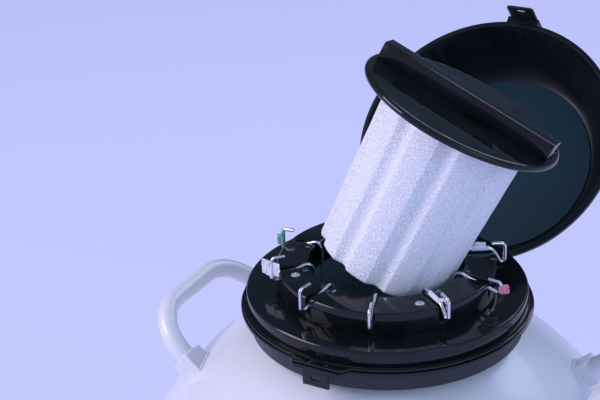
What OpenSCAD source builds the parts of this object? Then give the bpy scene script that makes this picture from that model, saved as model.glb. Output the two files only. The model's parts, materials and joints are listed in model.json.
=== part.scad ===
// Wide-neck storage dewar for liquid nitrogen, with an indexed ring of hooks,
// a foam neck plug held tilted over the neck, and a hinged lid leaning open.
// Millimetres, +Z up, origin on the floor under the neck's axis.
// The lid's hinge is at +Y, its hasp at -Y, and the handles are at -X and +X.

/* [Vessel] */
// Outer radius of the shell
shell_r = 306; // [304:1:310]
// Height of the centre of the domed shoulder
shoulder_z = 370; // [368:1:374]
// Thickness of the outer shell's wall
shell_t = 3; // [2:0.5:4]
// Height of the black deck's top face
deck_z = 700; // [698:1:702]
// Outer radius of the inner vessel
inner_r = 255; // [250:1:258]
// Thickness of the inner vessel's wall
inner_t = 2.5; // [1.5:0.5:3]

/* [Neck] */
// Bore radius of the neck tube
neck_r = 86; // [85.5:0.1:86.5]
// Wall thickness of the neck tube
neck_t = 3.5; // [3:0.1:3.5]

/* [Deck] */
// Radius of the deck's widest lip
deck_r = 160; // [159:0.5:160.5]
// Outer radius of the index ring
ring_r = 119.2; // [118:0.1:120]
// Bore radius of the index ring
ring_bore_r = 85; // [84:0.1:85.5]
// Height of the index ring
ring_h = 26.5; // [25:0.5:28]
// Number of slots, hooks and canisters
slots = 10; // [10:1:10]
// Width of a slot
slot_w = 5.6; // [5:0.1:7]

/* [Lid] */
// Outer radius of the lid's rim
lid_r = 160; // [159.5:0.1:160.5]
// Inside depth of the lid
lid_depth = 77; // [76:0.5:78]
// How far the lid leans open, from closed
lid_open = 136.2; // [130:0.1:138]

/* [Plug] */
// Length of the foam below the disc
foam_l = 189.6; // [180:0.1:195]
// Radius of the foam at its bottom
foam_r1 = 74; // [72:0.5:75]
// Radius of the foam under the disc
foam_r2 = 81; // [78:0.5:82]
// Radius of the plug's disc
disc_r = 111.3; // [108:0.1:112]
// How far the plug is tilted
plug_tilt = 25.6; // [24:0.1:26]
// Heading that the plug is tilted to, from +X
plug_heading = 26; // [20:1:32]

/* [Handles] */
// Radius of the handle's tube
handle_r = 11.3; // [10:0.1:12]
// Half the distance between the handle's legs
handle_half = 88.2; // [86:0.1:90]

/* [Canisters] */
// Outer radius of a canister's cup
cup_r = 37; // [34:0.5:38]
// Height of a canister's cup
cup_h = 280; // [250:5:285]
// Radius of the hook's rod
rod_r = 2; // [1.8:0.1:2.2]

/* [Hidden] */

fine = 128;
mid = 64;
small = 32;

base_z = 14;                       // underside of the outer shell
base_k = 140;                      // knuckle radius of its bottom head
inner_cz = 300;                    // centre of the inner vessel's dome
inner_z0 = 65;                     // underside of the inner vessel
inner_k = 70;                      // knuckle radius of its bottom head
tube_z0 = 526;                     // lower end of the neck tube
tube_or = neck_r + neck_t;
spigot_r = tube_or + 0.3;
flange_z = -24.2;                  // underside of the flange ring, from the deck
plate_z = -17;                     // underside of the deck plate
plate_r = 153.5;
ring_floor = 9.5;                  // floor of a slot
tab_front = 166.5;                 // flat front of the deck's hasp landing
hinge_y = 153;                     // hinge pin's axis, from the deck's top
hinge_z = -30;
pin_r = 3;
lid_z = -17;                       // the lid's rim when closed, from the deck's top
lid_wall = 3.5;
leaf_y = 162;
leaf_t = 3;
hasp_z = -32;                      // height of both padlock slots
plug_at = [-3.8, -2.4, deck_z + 25.3];
disc_t = 8;
disc_gap = 0.2;
bar_half = 104;
bar_w = 27;
bar_h = 19;
cup_pitch = 142;
cup_z0 = 80;
cup_t = 1;
rod_in = 80;                       // radius at which a rod runs down the neck
rod_cup = cup_pitch - cup_r - rod_r - 0.02;
port_turn = 120;
port_rise = 40;
lug = 27;                          // width of the lug that a leg is welded to
handle_x = 212.3;                  // where a handle's leg meets its lug
handle_foot = -100.6;
handle_lean = 50;
handle_leg = 2;
bend_r = 55.7;

// Each hook's reach, the height of its top and of its foot, and whether it is taped,
// which keeps it up on the ring instead of down in its slot
hook_r = [133, 131, 128, 128, 128, 129, 125, 128.5, 128, 133];
hook_top = [29.5, 35.5, 40.6, 40, 40.4, 38, 41, 41, 34, 41];
hook_low = [16, 11.5, 11, 11, 11.1, 12, 13, 13.2, 10.2, 16.5];
function taped(i) = i == 1 || i == 9;
function crest(i) = taped(i) ? 31.2 : 29.3;

// A rod's corners in its own radial plane: [radius, height above the deck]
function hook_path(i) = concat(
    [[rod_cup, 300 - deck_z], [rod_cup, 368 - deck_z], [rod_in, 474 - deck_z], [rod_in, 24],
        [83.5, crest(i) - 0.8], [88, crest(i)]],
    [taped(i) ? [117, 29.6] : [96, 25.6]],
    [[hook_r[i] - 4, hook_low[i]], [hook_r[i], hook_low[i] + 2.8],
        [hook_r[i], hook_top[i] - 3.5], [hook_r[i] - 3, hook_top[i] - 0.9],
        [hook_r[i] - 14.4, hook_top[i]]]);

module at_deck() { translate([0, 0, deck_z]) children(); }
module around(n, from = 0) { for (i = [0 : n - 1]) rotate(from + i * 360 / n) children(); }
module spin(fn = fine) { rotate_extrude($fn = fn) children(); }
module box2(x0, x1, y0, y1) { translate([x0, y0]) square([x1 - x0, y1 - y0]); }
module box3(x0, x1, y0, y1, z0, z1) {
    translate([x0, y0, z0]) cube([x1 - x0, y1 - y0, z1 - z0]);
}

// Half profile of a round-cornered pan with its floor at z0 and its mouth at top
module pan2(r, k, z0, top) {
    box2(0, r - k, z0, top);
    box2(0, r, z0 + k, top);
    translate([r - k, z0 + k]) intersection() {
        circle(k, $fn = fine);
        box2(0, k, -k, 0.1);
    }
}

// Half profile of a domed vessel: a hemisphere on a pan
module vessel2(r, k, z0, zc) {
    pan2(r, k, z0, zc);
    translate([0, zc]) intersection() {
        circle(r, $fn = fine);
        box2(0, r, -0.1, r);
    }
}

// The solid ball that the shoulder's outer face belongs to
module shoulder_ball(extra = 0) {
    translate([0, 0, shoulder_z]) sphere(r = shell_r + extra, $fn = 180);
}

module to_port() {
    translate([0, 0, shoulder_z]) rotate(port_turn) rotate([0, 90 - port_rise, 0]) children();
}

module lid_pose() {
    translate([0, hinge_y, deck_z + hinge_z]) rotate([-lid_open, 0, 0])
        translate([0, -hinge_y, -hinge_z]) children();
}

module plug_pose() {
    translate(plug_at)
        rotate(a = plug_tilt, v = [-sin(plug_heading), cos(plug_heading), 0]) children();
}

// An oblong hole along X through Y, centred on its own origin
module oblong(len, wide, deep) {
    for (s = [-1, 1]) translate([s * (len - wide) / 2, 0, 0]) rotate([90, 0, 0])
        cylinder(r = wide / 2, h = deep, center = true, $fn = small);
    cube([len - wide, deep, wide], center = true);
}

// A pan-headed screw that points down, its head's underside at z = 0
module screw_down(head_r, head_h, shank_r, len) {
    cylinder(r = head_r, h = head_h, $fn = small);
    translate([0, 0, -len]) cylinder(r = shank_r, h = len + 0.5, $fn = small);
}

// ---- outer and inner vessels ----

module outer_shell_top() {
    color("white") difference() {
        spin() {
            translate([0, shoulder_z]) difference() {
                circle(shell_r, $fn = fine);
                circle(shell_r - shell_t, $fn = fine);
                box2(-400, spigot_r, -400, 400);
                box2(-400, 400, -400, 0);
            }
            box2(spigot_r, spigot_r + 3, 655, deck_z - 26);
        }
        to_port() cylinder(r = 12.1, h = 400, $fn = small);
    }
}

module outer_shell_barrel() {
    color("white") spin() box2(shell_r - shell_t, shell_r, base_z + base_k, shoulder_z);
}

module outer_shell_bottom() {
    color("white") spin() difference() {
        pan2(shell_r, base_k, base_z, base_z + base_k + 1);
        pan2(shell_r - shell_t, base_k - shell_t, base_z + shell_t, base_z + base_k + 2);
        box2(-1, shell_r + 1, base_z + base_k, base_z + base_k + 3);
    }
}

module base_boot() {
    color("dimgray") spin() difference() {
        union() {
            box2(0, 222, 2, 34);
            box2(0, 220, 0, 3);
        }
        pan2(shell_r + 0.05, base_k + 0.05, base_z - 0.05, 200);
    }
}

module inner_vessel_dome() {
    color("silver") spin() {
        translate([0, inner_cz]) difference() {
            circle(inner_r, $fn = fine);
            circle(inner_r - inner_t, $fn = fine);
            box2(-400, tube_or + 0.1, -400, 400);
            box2(-400, 400, -400, 0);
        }
        box2(tube_or + 0.1, tube_or + 3.5, tube_z0 + 2, 552);
    }
}

module inner_vessel_barrel() {
    color("silver") spin()
        box2(inner_r - inner_t, inner_r, inner_z0 + inner_k, inner_cz);
}

module inner_vessel_bottom() {
    color("silver") spin() difference() {
        pan2(inner_r, inner_k, inner_z0, inner_z0 + inner_k + 1);
        pan2(inner_r - inner_t, inner_k - inner_t, inner_z0 + inner_t,
            inner_z0 + inner_k + 2);
        box2(-1, inner_r + 1, inner_z0 + inner_k, inner_z0 + inner_k + 3);
    }
}

module neck_tube() {
    color("cadetblue") spin() box2(neck_r, tube_or, tube_z0, deck_z - 0.3);
}

module insulation_blanket() {
    color("gainsboro") spin() difference() {
        vessel2(275, 95, 45, inner_cz);
        vessel2(inner_r + 0.5, inner_k + 0.5, inner_z0 - 0.5, inner_cz);
        box2(-1, tube_or + 6, 400, 700);
    }
}

module evacuation_port() {
    color("silver") to_port() spin(small) {
        box2(9, 12, 298, 320);
        box2(12, 17, shell_r + 0.1, shell_r + 3);
    }
}

module evacuation_cap() {
    color("black") to_port() difference() {
        union() {
            spin(small) {
                box2(12.1, 16, 311, 320.2);
                box2(0, 16, 320.1, 326);
            }
            around(12) translate([15.6, 0, 312]) cylinder(r = 1.4, h = 13, $fn = 16);
        }
        translate([0, 0, 323]) box3(-9, 9, -1, 1, 0, 5);
    }
}

// ---- handles ----

module handle_frame() {
    translate([-handle_x, 0, deck_z + handle_foot]) rotate([0, -handle_lean, 0]) children();
}

// Bent tube on two welded lugs, on the -X side
module handle() {
    color("white") {
        handle_frame() {
            for (s = [0, 1]) mirror([0, s, 0]) {
                translate([0, handle_half, -9.5])
                    cylinder(r = handle_r, h = 9.5 + handle_leg, $fn = mid);
                translate([0, handle_half - bend_r, handle_leg]) rotate([90, 0, 90])
                    rotate_extrude(angle = 90, $fn = fine)
                        translate([bend_r, 0]) circle(handle_r, $fn = mid);
            }
            translate([0, bend_r - handle_half, handle_leg + bend_r]) rotate([-90, 0, 0])
                cylinder(r = handle_r, h = 2 * (handle_half - bend_r), $fn = mid);
        }
        difference() {
            handle_frame() for (s = [-1, 1]) translate([0, s * handle_half, 0])
                box3(-lug / 2, lug / 2, -lug / 2, lug / 2, -36, -2);
            shoulder_ball(0.02);
        }
    }
}

module handle_left() { handle(); }
module handle_right() { mirror([1, 0, 0]) handle(); }

// ---- collar and deck ----

module neck_collar() {
    color("dimgray") difference() {
        at_deck() difference() {
            union() {
                spin() {
                    box2(spigot_r + 3.4, 150, -29, flange_z - 0.05);
                    polygon([[146, -45.5], [150, -45.5], [153, flange_z - 0.05],
                        [146, flange_z - 0.05]]);
                    box2(108, 116, -52, -28);
                }
                around(12, 15) box3(115, 147, -2, 2, -37, -28);
                box3(-40, 40, 126, 141, -40, -28);
            }
            box3(-37, 37, 141, 160, -60, 0);
        }
        shoulder_ball(0.05);
    }
}

// Outline of the deck: round, with a flat landing for the hasp at the front
module deck_outline(r, front) {
    circle(r, $fn = fine);
    polygon([[-46, -120], [46, -120], [46, -140], [27, -front], [-27, -front], [-46, -140]]);
}

module deck_slice(r, front, z0, z1) {
    translate([0, 0, z0]) linear_extrude(z1 - z0) difference() {
        deck_outline(r, front);
        circle(tube_or + 4, $fn = fine);
    }
}

module flange_ring() {
    color("black") at_deck() difference() {
        union() {
            deck_slice(deck_r, tab_front, flange_z, -20.4);
            deck_slice(deck_r - 3, tab_front - 3, -20.5, -19.2);
            deck_slice(deck_r - 1.4, tab_front - 1.4, -19.3, plate_z);
        }
        spin() box2(154.2, 157.2, -18.6, 0);
        translate([0, 0, flange_z - 1]) for (s = [-1, 1]) translate([s * 9, -161, 0])
            cylinder(r = 2.1, h = 9, $fn = small);
    }
}

module shroud_plate() {
    color("black") at_deck() difference() {
        spin() difference() {
            box2(tube_or + 0.4, plate_r, plate_z + 0.02, 0);
            translate([plate_r, 0]) rotate(45) square(2.2, center = true);
        }
        around(4, 45) translate([103, 0, -11]) cylinder(r = 2.6, h = 20, $fn = small);
    }
}

module lid_seat_seal() {
    color("dimgray") at_deck() spin() difference() {
        box2(154.4, 157, -18.55, -17.15);
        box2(155.2, 156.2, -17.6, -17);
    }
}

module index_ring() {
    color("black") at_deck() difference() {
        spin() difference() {
            polygon([[ring_bore_r, 0.05], [ring_r, 0.05], [ring_r, ring_h - 1.5],
                [ring_r - 1.2, ring_h - 0.3], [ring_bore_r + 1.2, ring_h + 1.2],
                [ring_bore_r, ring_h]]);
        }
        around(slots) {
            box3(80, 130, -slot_w / 2, slot_w / 2, ring_floor, 40);
            box3(80, 100, -slot_w / 2, slot_w / 2, 5, 40);
        }
        around(4, 45) translate([103, 0, 0]) {
            translate([0, 0, -1]) cylinder(r = 2.6, h = 40, $fn = small);
            translate([0, 0, ring_h - 2.4]) cylinder(r = 5.5, h = 10, $fn = small);
        }
    }
}

module ring_screws() {
    color("silver") at_deck() around(4, 45) translate([103, 0, ring_h - 2.35]) difference() {
        union() {
            cylinder(r = 5.2, h = 2, $fn = small);
            translate([0, 0, 1.9]) cylinder(r1 = 5.2, r2 = 3.6, h = 1, $fn = small);
            translate([0, 0, 2.35 - ring_h - 10.5]) cylinder(r = 2.5, h = 35, $fn = small);
        }
        translate([0, 0, 1]) cylinder(r = 2.3, h = 4, $fn = 6);
    }
}

module hasp_plate() {
    color("black") at_deck() difference() {
        union() {
            box3(-15, 15, -tab_front, 2.4 - tab_front, -41.6, flange_z - 0.05);
            box3(-15, 15, -tab_front, -157.6, flange_z - 2.4, flange_z - 0.05);
        }
        translate([0, 1.2 - tab_front, hasp_z]) oblong(12, 6, 6);
        for (s = [-1, 1]) translate([s * 9, -161, -30]) cylinder(r = 2.1, h = 9, $fn = small);
    }
}

module hasp_rivets() {
    color("silver") at_deck() for (s = [-1, 1]) translate([s * 9, -161, flange_z - 2.45])
        rotate([180, 0, 0]) screw_down(2.9, 1.6, 2, 9);
}

// ---- hinge ----

module along_x(x0, x1, r) {
    translate([x0, hinge_y, hinge_z]) rotate([0, 90, 0]) cylinder(r = r, h = x1 - x0, $fn = mid);
}

module hinge_bracket() {
    color("black") at_deck() difference() {
        union() {
            box3(-34, 34, 141.05, 144, -40, -24.8);
            for (s = [0, 1]) mirror([s, 0, 0]) {
                box3(20.2, 32, 143, hinge_y, -34, -28);
                along_x(20.2, 32, 5);
            }
        }
        along_x(-40, 40, pin_r + 0.04);
        for (x = [-16, -5, 5, 16]) translate([x, 132, -33]) rotate([-90, 0, 0])
            cylinder(r = 2.05, h = 20, $fn = small);
    }
}

module hinge_pin() {
    color("silver") at_deck() {
        along_x(-33.5, 33.5, pin_r);
        for (s = [0, 1]) mirror([s, 0, 0]) along_x(32.2, 34, 4.2);
    }
}

module hinge_screws() {
    color("silver") at_deck() for (x = [-16, -5, 5, 16]) translate([x, 144.05, -33])
        rotate([-90, 0, 0]) screw_down(3, 1.8, 2, 2.8);
}

// ---- things that hang in the vessel ----

module canister_spider() {
    color("silver") {
        spin(mid) box2(6, 30, inner_z0 + inner_t + 0.1, 112);
        around(slots, 18) box3(29, 172, -1.2, 1.2, 74, 108);
        spin(mid) box2(29, 60, 74, 77);
    }
}

module canister_cup(i) {
    color("silver") rotate(i * 360 / slots) translate([cup_pitch, 0, cup_z0]) difference() {
        spin(mid) difference() {
            box2(0, cup_r, 0, cup_h);
            box2(-1, cup_r - cup_t, cup_t, cup_h + 1);
        }
        around(4, 45) translate([20, 0, -1]) cylinder(r = 5, h = 4, $fn = small);
        translate([0, 0, -1]) cylinder(r = 5, h = 4, $fn = small);
    }
}

// One straight stretch of rod
module stretch(p, q) {
    d = q - p;
    translate([p[0], 0, p[1]]) rotate([0, atan2(d[0], d[1]), 0])
        cylinder(r = rod_r, h = norm(d), $fn = small);
}

// Bent rod: straight stretches, and at each corner a ball a little wider than the rod
module canister_rod(i) {
    path = hook_path(i);
    last = len(path) - 1;
    color("silver") at_deck() rotate(i * 360 / slots) {
        for (k = [0 : last - 1]) stretch(path[k], path[k + 1]);
        for (k = [1 : last - 1]) translate([path[k][0], 0, path[k][1]])
            rotate(90) sphere(r = rod_r + 0.15, $fn = small);
    }
}

// A sleeve on the upright end of hook i, with flags fixed to it
module sleeve(i, z0, z1) {
    at_deck() rotate(i * 360 / slots) translate([hook_r[i], 0, 0]) {
        difference() {
            union() {
                translate([0, 0, z0]) cylinder(r = rod_r + 0.9, h = z1 - z0, $fn = small);
                children();
            }
            translate([0, 0, z0 - 20]) cylinder(r = rod_r + 0.2, h = 80, $fn = small);
        }
    }
}

// A sleeve on the stretch of hook i that lies on the ring
module wrap(i, from, to) {
    at_deck() rotate(i * 360 / slots) translate([88, 0, 31.2])
        rotate([0, 90 + atan(1.6 / 29), 0]) difference() {
            union() {
                translate([0, 0, from]) cylinder(r = rod_r + 0.9, h = to - from, $fn = small);
                children();
            }
            translate([0, 0, -20]) cylinder(r = rod_r + 0.2, h = 80, $fn = small);
        }
}

module tag_pink() {
    color("hotpink") sleeve(0, 19.6, 25.2) {
        box3(2.4, 7, -0.6, 0.6, 20, 25);
    }
}

module tag_green() {
    color("seagreen") sleeve(5, 17, 34) {
        box3(2.4, 7, -0.6, 0.6, 18, 30);
    }
}

module tag_white() {
    color("white") sleeve(6, 17, 36) {
        rotate(-50) box3(2.4, 15, -0.6, 0.6, 18, 35);
    }
}

module tape_twist() {
    color("white") wrap(9, 8, 27) {
        box3(-0.6, 0.6, 2.4, 7, 10, 25);
    }
}

module tape_wrap() {
    color("white") wrap(1, 5, 26) {
        box3(-0.6, 0.6, 2.4, 6, 8, 22);
    }
}

// ---- lid, drawn closed and then leant open ----

// Half profile of the lid's inside, from its rim up, made wider by t
module lid_inside(t) {
    polygon([[0, -1], [154 + t, -1], [154 + t, 0], [131.5 + t, 60], [126 + t, 68],
        [119.5 + 0.8 * t, 74 + 0.5 * t], [112 + 0.5 * t, lid_depth + t],
        [0, lid_depth + t]]);
}

module lid_shell() {
    color("black") lid_pose() difference() {
        union() {
            spin() translate([0, lid_z]) {
                intersection() {
                    lid_inside(lid_wall);
                    box2(0, 400, 0, 200);
                }
                box2(100, lid_r, 0, 6);
            }
            box3(-24, 24, 118, leaf_y - 0.05, lid_z, 27);
            box3(-20, 20, -tab_front - 0.7, -125, lid_z, 18);
        }
        spin() translate([0, lid_z]) lid_inside(0);
        for (x = [-12, 12]) for (z = [2, 18]) translate([x, 150, z]) rotate([-90, 0, 0])
            cylinder(r = 2.05, h = 20, $fn = small);
        for (x = [-8, 8]) translate([x, -172, 5]) rotate([-90, 0, 0])
            cylinder(r = 2.05, h = 11, $fn = small);
    }
}

module lid_liner() {
    color("darkslategray") lid_pose() translate([0, 0, lid_z + lid_depth - 3])
        spin() polygon([[0, 0], [114.2, 0], [115, 0.8], [115, 1.5], [111.5, 2.9], [0, 2.9]]);
}

module lid_hinge_leaf() {
    color("black") lid_pose() difference() {
        union() {
            along_x(-19.6, 19.6, 5);
            box3(-19.6, 19.6, hinge_y, leaf_y + leaf_t, hinge_z + 1.9, hinge_z + 4.8);
            box3(-19.6, 19.6, leaf_y, leaf_y + leaf_t, hinge_z + 1.9, 25);
        }
        along_x(-30, 30, pin_r + 0.04);
        for (x = [-12, 12]) for (z = [2, 18]) translate([x, 150, z]) rotate([-90, 0, 0])
            cylinder(r = 2.1, h = 20, $fn = small);
    }
}

module lid_leaf_screws() {
    color("silver") lid_pose() for (x = [-12, 12]) for (z = [2, 18])
        translate([x, leaf_y + leaf_t + 0.03, z]) rotate([-90, 0, 0]) screw_down(3.8, 2, 2, 9);
}

module lid_hasp_tab() {
    color("black") lid_pose() difference() {
        box3(-17, 17, -tab_front - 3.1, -tab_front - 0.8, -41, 16);
        translate([0, -tab_front - 2, hasp_z]) oblong(12, 6, 8);
        for (s = [-1, 1]) translate([s * 17, -tab_front - 2, -41]) rotate([0, 45, 0])
            cube([4, 8, 4], center = true);
        for (x = [-8, 8]) translate([x, -175, 5]) rotate([-90, 0, 0])
            cylinder(r = 2.1, h = 20, $fn = small);
    }
}

module lid_tab_rivets() {
    color("silver") lid_pose() for (x = [-8, 8]) translate([x, -tab_front - 3.12, 5])
        rotate([90, 0, 0]) screw_down(3.4, 1.6, 2, 8);
}

// ---- plug, drawn upright from the foam's bottom and then tilted ----

module plug_foam() {
    color("white") plug_pose() difference() {
        spin() polygon([[0, 0], [foam_r1 - 4, 0], [foam_r1, 4], [foam_r2, foam_l], [0, foam_l]]);
        around(slots) translate([foam_r1 + 4, 0, -1])
            rotate([0, atan((foam_r2 - foam_r1) / foam_l), 0])
                cylinder(r = 12, h = foam_l + 5, $fn = mid);
        for (x = [-80, -30, 30, 80]) if (abs(x) < 60) translate([x, 0, foam_l - 4])
            cylinder(r = 5, h = 5, $fn = small);
    }
}

module plug_disc() {
    color("black") plug_pose() translate([0, 0, foam_l + disc_gap]) difference() {
        spin() {
            box2(0, disc_r - disc_t / 2, 0, disc_t);
            translate([disc_r - disc_t / 2, disc_t / 2]) circle(disc_t / 2, $fn = mid);
        }
        for (x = [-30, 30]) translate([x, 0, -1]) cylinder(r = 2.1, h = 20, $fn = small);
    }
}

module plug_handle() {
    z0 = foam_l + disc_gap + disc_t + 0.03;
    color("black") plug_pose() translate([-bar_half, 0, z0]) rotate([90, 0, 90])
        difference() {
            linear_extrude(2 * bar_half) union() {
                polygon([[-bar_w / 2, 0], [bar_w / 2, 0], [bar_w / 2 - 1, bar_h - 4],
                    [1 - bar_w / 2, bar_h - 4]]);
                for (s = [-1, 1]) translate([s * (bar_w / 2 - 5), bar_h - 4])
                    circle(4, $fn = small);
                box2(5 - bar_w / 2, bar_w / 2 - 5, 2, bar_h);
            }
            for (x = [-30, 30]) translate([0, 0, bar_half + x]) rotate([-90, 0, 0])
                translate([0, 0, -1]) cylinder(r = 2.1, h = 13, $fn = small);
        }
}

module plug_screws() {
    color("silver") plug_pose() for (x = [-30, 30])
        translate([x, 0, foam_l + disc_gap - 0.03]) rotate([180, 0, 0])
            screw_down(4, 2.6, 2, 18);
}

outer_shell_top();
outer_shell_barrel();
outer_shell_bottom();
base_boot();
inner_vessel_dome();
inner_vessel_barrel();
inner_vessel_bottom();
neck_tube();
insulation_blanket();
evacuation_port();
evacuation_cap();
handle_left();
handle_right();
neck_collar();
flange_ring();
shroud_plate();
lid_seat_seal();
index_ring();
ring_screws();
hasp_plate();
hasp_rivets();
hinge_bracket();
hinge_pin();
hinge_screws();
canister_spider();
lid_shell();
lid_liner();
lid_hinge_leaf();
lid_leaf_screws();
lid_hasp_tab();
lid_tab_rivets();
plug_foam();
plug_disc();
plug_handle();
plug_screws();
canister_cup(0);  // canister_cup_01
canister_cup(1);  // canister_cup_02
canister_cup(2);  // canister_cup_03
canister_cup(3);  // canister_cup_04
canister_cup(4);  // canister_cup_05
canister_cup(5);  // canister_cup_06
canister_cup(6);  // canister_cup_07
canister_cup(7);  // canister_cup_08
canister_cup(8);  // canister_cup_09
canister_cup(9);  // canister_cup_10
canister_rod(0);  // canister_rod_01
canister_rod(1);  // canister_rod_02
canister_rod(2);  // canister_rod_03
canister_rod(3);  // canister_rod_04
canister_rod(4);  // canister_rod_05
canister_rod(5);  // canister_rod_06
canister_rod(6);  // canister_rod_07
canister_rod(7);  // canister_rod_08
canister_rod(8);  // canister_rod_09
canister_rod(9);  // canister_rod_10
tag_pink();
tag_green();
tag_white();
tape_twist();
tape_wrap();
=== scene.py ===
"""A wide-neck liquid nitrogen dewar: lid leant open, foam plug held over an indexed ring of hooks.

Everything is in metres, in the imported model's frame. Lengths named *_MM are in millimetres.
"""

import json
import math
import random

import bmesh
import bpy
from mathutils import Matrix, Quaternion, Vector


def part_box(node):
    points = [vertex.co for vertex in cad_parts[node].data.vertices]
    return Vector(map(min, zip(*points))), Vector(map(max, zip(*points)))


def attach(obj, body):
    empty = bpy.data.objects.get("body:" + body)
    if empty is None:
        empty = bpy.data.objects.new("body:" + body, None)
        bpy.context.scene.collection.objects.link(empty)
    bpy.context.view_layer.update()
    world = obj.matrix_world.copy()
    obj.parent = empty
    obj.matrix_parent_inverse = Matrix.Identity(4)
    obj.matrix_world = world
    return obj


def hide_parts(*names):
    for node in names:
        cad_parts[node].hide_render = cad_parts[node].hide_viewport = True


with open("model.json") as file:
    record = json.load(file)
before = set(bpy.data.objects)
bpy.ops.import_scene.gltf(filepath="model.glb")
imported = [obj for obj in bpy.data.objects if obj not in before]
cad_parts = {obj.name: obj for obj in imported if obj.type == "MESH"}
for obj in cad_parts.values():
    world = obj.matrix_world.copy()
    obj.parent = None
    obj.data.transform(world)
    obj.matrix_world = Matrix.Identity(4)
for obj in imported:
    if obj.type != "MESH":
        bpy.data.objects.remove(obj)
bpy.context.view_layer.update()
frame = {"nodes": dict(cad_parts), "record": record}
NODES = frame["nodes"]
MM = 0.001
SLOTS = 10
BODY_OF = {n: b for b, ns in frame["record"]["behaviour"]["bodies"].items() for n in ns}
SLOT_OF = {s["node"]: s["material_slot"] for s in frame["record"]["subparts"]}
DECK_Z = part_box("shroud_plate")[1].z

scene = bpy.context.scene
scene.view_settings.view_transform = "Standard"


# ---------------------------------------------------------------- camera, light and floor

CAM_TURN = math.radians(26)
CAM_TILT = math.radians(27.9971)
CAM_DISTANCE = 1.67869
CAM_PAN_X = -0.0562737
CAM_PAN_Y = 0.0532058
CAM_ROLL = -0.00385929
CAM_LENS = 91.95
CAM_TARGET = Vector((0, 0, DECK_Z))

# Level direction in which the studio's surround dims
TO_BACK = (-math.sin(CAM_TURN), math.cos(CAM_TURN), 0.0)
SURROUND_LOW, SURROUND_HIGH = (0.60, 0.58, 0.95), (0.50, 0.59, 0.95)
SURROUND_DIM = (0.11, 0.17, 0.27)
SURROUND_HIGH_FROM, DIM_START, DIM_END = 0.8, 0.1, 0.8
SURROUND_STRENGTH = 0.66

FLOOR_COLOUR = (0.55, 0.57, 0.90)
FLOOR_ALBEDO_SHARE = 0.5
FLOOR_GLOW = 0.68
FLOOR_HALF_SIZE = 30

# Name, place, target, size, power in watts and colour
AREA_LIGHTS = (
    ("key", (-2.4, -1.7, 2.5), (0, 0, 0.65), (1.8, 1.8), 72, (0.92, 0.84, 1.0)),
    ("fill", (2.4, -1.2, 1.8), (0, 0, 0.7), (1.6, 2.2), 16, (0.42, 0.76, 1.0)),
    ("back", (0.8, 2.6, 2.6), (0, 0, 0.7), (2.4, 1.2), 30, (0.66, 0.76, 1.0)),
)


def make_camera():
    """The photograph's view: turned, tilted, then panned and rolled a little off its target."""
    right = Vector((math.cos(CAM_TURN), math.sin(CAM_TURN), 0))
    away = Vector((-math.sin(CAM_TURN), math.cos(CAM_TURN), 0))
    up = Vector((0, 0, 1))
    forward = away * math.cos(CAM_TILT) - up * math.sin(CAM_TILT)
    lift = away * math.sin(CAM_TILT) + up * math.cos(CAM_TILT)
    place = CAM_TARGET - forward * CAM_DISTANCE
    sx, cx = math.sin(CAM_PAN_X), math.cos(CAM_PAN_X)
    sy, cy = math.sin(CAM_PAN_Y), math.cos(CAM_PAN_Y)
    look = right * (cy * sx) + lift * sy + forward * (cy * cx)
    x = right * cx - forward * sx
    y = lift * cy - right * (sy * sx) - forward * (sy * cx)
    cr, sr = math.cos(CAM_ROLL), math.sin(CAM_ROLL)
    x, y = x * cr + y * sr, y * cr - x * sr
    z = -look
    data = bpy.data.cameras.new("camera")
    data.sensor_width = 36
    data.lens = CAM_LENS
    data.clip_end = 60
    cam = bpy.data.objects.new("camera", data)
    scene.collection.objects.link(cam)
    cam.matrix_world = Matrix((
        (x.x, y.x, z.x, place.x),
        (x.y, y.y, z.y, place.y),
        (x.z, y.z, z.z, place.z),
        (0, 0, 0, 1),
    ))
    scene.camera = cam


def area_light(name, place, target, size, power, colour):
    data = bpy.data.lights.new(name, "AREA")
    data.shape = "RECTANGLE"
    data.size, data.size_y = size
    data.energy = power
    data.color = colour
    lamp = bpy.data.objects.new(name, data)
    scene.collection.objects.link(lamp)
    lamp.location = place
    lamp.rotation_mode = "QUATERNION"
    lamp.rotation_quaternion = (Vector(target) - Vector(place)).to_track_quat("-Z", "Y")


# ---------------------------------------------------------------- node helpers


def add(tree, kind, inputs=None, **props):
    """A new node. Inputs are sockets to link, or values to set."""
    made = tree.nodes.new(kind)
    for key, value in props.items():
        setattr(made, key, value)
    for key, value in (inputs or {}).items():
        if isinstance(value, bpy.types.NodeSocket):
            tree.links.new(value, made.inputs[key])
        else:
            made.inputs[key].default_value = value
    return made


def maths(tree, operation, first, second):
    return add(tree, "ShaderNodeMath", {0: first, 1: second}, operation=operation).outputs[0]


def cells(tree, where, scale, output="Distance", **props):
    inputs = {"Vector": where, "Scale": scale}
    return add(tree, "ShaderNodeTexVoronoi", inputs, **props).outputs[output]


def noise(tree, where, scale, detail=3.0, rough=0.55, distortion=0.0):
    values = {"Scale": scale, "Detail": detail, "Roughness": rough, "Distortion": distortion}
    return add(tree, "ShaderNodeTexNoise", {"Vector": where, **values}).outputs["Fac"]


def stretched(tree, where, factors):
    return add(tree, "ShaderNodeMapping", {"Vector": where, "Scale": factors}).outputs["Vector"]


def between(tree, value, low, high, to_low, to_high):
    """Maps low..high to to_low..to_high, held at both ends."""
    made = add(tree, "ShaderNodeMapRange", {"Value": value})
    for key, number in zip(("From Min", "From Max", "To Min", "To Max"), (low, high, to_low, to_high)):
        made.inputs[key].default_value = number
    return made.outputs["Result"]


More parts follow.
